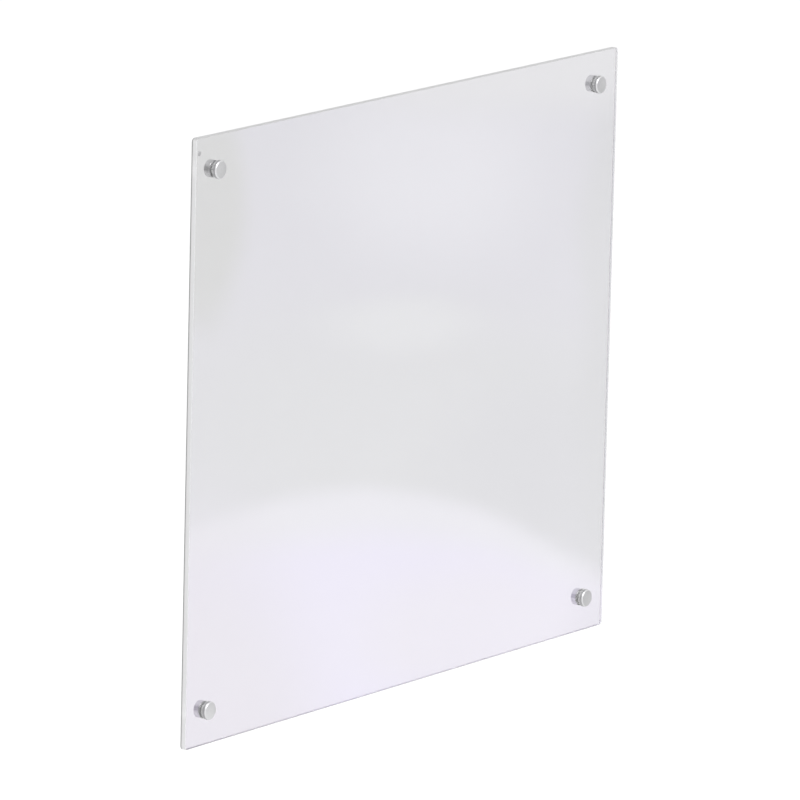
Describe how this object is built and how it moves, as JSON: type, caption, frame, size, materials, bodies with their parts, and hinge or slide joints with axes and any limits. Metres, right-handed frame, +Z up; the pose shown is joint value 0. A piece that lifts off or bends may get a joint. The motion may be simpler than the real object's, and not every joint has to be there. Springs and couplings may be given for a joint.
{
  "type": "sneeze guard",
  "caption": "Flat clear glass sneeze guard held off the wall behind it by a screw-together metal standoff at every corner.",
  "frame": {"origin": "centre of the rectangle of fixing-screw holes, on the wall plane that the barrels' rear faces touch", "axes": "+X along the panel's width, to the right as seen from the front; +Y towards the wall; +Z up, along the panel's height"},
  "size_m": [0.7, 0.0182, 0.6],
  "materials": {
    "low_iron_glass": "polished, toughened low-iron glass with ground and polished edges",
    "fired_enamel": "grey enamel fired on the glass, satin",
    "turned_steel": "stainless steel, fine turned and satin brushed",
    "plated_steel": "zinc-plated steel, threaded",
    "clear_washer": "clear soft vinyl",
    "nylon_sleeve": "natural nylon, translucent"
  },
  "bodies": {
    "fixed_panel": {"glass_panel": "low_iron_glass", "safety_mark": "fired_enamel", "top_left_barrel": "turned_steel", "top_left_rear_washer": "clear_washer", "top_left_hole_sleeve": "nylon_sleeve", "top_right_barrel": "turned_steel", "top_right_rear_washer": "clear_washer", "top_right_hole_sleeve": "nylon_sleeve", "bottom_left_barrel": "turned_steel", "bottom_left_rear_washer": "clear_washer", "bottom_left_hole_sleeve": "nylon_sleeve", "bottom_right_barrel": "turned_steel", "bottom_right_rear_washer": "clear_washer", "bottom_right_hole_sleeve": "nylon_sleeve"},
    "top_left_washer_body": {"top_left_front_washer": "clear_washer"},
    "top_left_cap_body": {"top_left_stud": "plated_steel", "top_left_cap": "turned_steel"},
    "top_right_washer_body": {"top_right_front_washer": "clear_washer"},
    "top_right_cap_body": {"top_right_stud": "plated_steel", "top_right_cap": "turned_steel"},
    "bottom_left_washer_body": {"bottom_left_front_washer": "clear_washer"},
    "bottom_left_cap_body": {"bottom_left_stud": "plated_steel", "bottom_left_cap": "turned_steel"},
    "bottom_right_washer_body": {"bottom_right_front_washer": "clear_washer"},
    "bottom_right_cap_body": {"bottom_right_stud": "plated_steel", "bottom_right_cap": "turned_steel"}
  },
  "joints": [
    {"name": "top_left_cap_draw", "type": "slide", "parent": "fixed_panel", "child": "top_left_washer_body", "axis": [0, -1, 0], "range_m": [0, 0.0038]},
    {"name": "top_left_cap_turn", "type": "hinge", "parent": "top_left_washer_body", "child": "top_left_cap_body", "pos_m": [-0.316, 0, 0.266], "axis": [0, -1, 0], "range_deg": [0, 1368]},
    {"name": "top_right_cap_draw", "type": "slide", "parent": "fixed_panel", "child": "top_right_washer_body", "axis": [0, -1, 0], "range_m": [0, 0.0038]},
    {"name": "top_right_cap_turn", "type": "hinge", "parent": "top_right_washer_body", "child": "top_right_cap_body", "pos_m": [0.316, 0, 0.266], "axis": [0, -1, 0], "range_deg": [0, 1368]},
    {"name": "bottom_left_cap_draw", "type": "slide", "parent": "fixed_panel", "child": "bottom_left_washer_body", "axis": [0, -1, 0], "range_m": [0, 0.0038]},
    {"name": "bottom_left_cap_turn", "type": "hinge", "parent": "bottom_left_washer_body", "child": "bottom_left_cap_body", "pos_m": [-0.316, 0, -0.266], "axis": [0, -1, 0], "range_deg": [0, 1368]},
    {"name": "bottom_right_cap_draw", "type": "slide", "parent": "fixed_panel", "child": "bottom_right_washer_body", "axis": [0, -1, 0], "range_m": [0, 0.0038]},
    {"name": "bottom_right_cap_turn", "type": "hinge", "parent": "bottom_right_washer_body", "child": "bottom_right_cap_body", "pos_m": [0.316, 0, -0.266], "axis": [0, -1, 0], "range_deg": [0, 1368]}
  ],
  "couplings": [
    {"joint": "top_left_cap_draw", "follows": "top_left_cap_turn", "m_per_rad": 0.00015915},
    {"joint": "top_right_cap_draw", "follows": "top_right_cap_turn", "m_per_rad": 0.00015915},
    {"joint": "bottom_left_cap_draw", "follows": "bottom_left_cap_turn", "m_per_rad": 0.00015915},
    {"joint": "bottom_right_cap_draw", "follows": "bottom_right_cap_turn", "m_per_rad": 0.00015915}
  ]
}
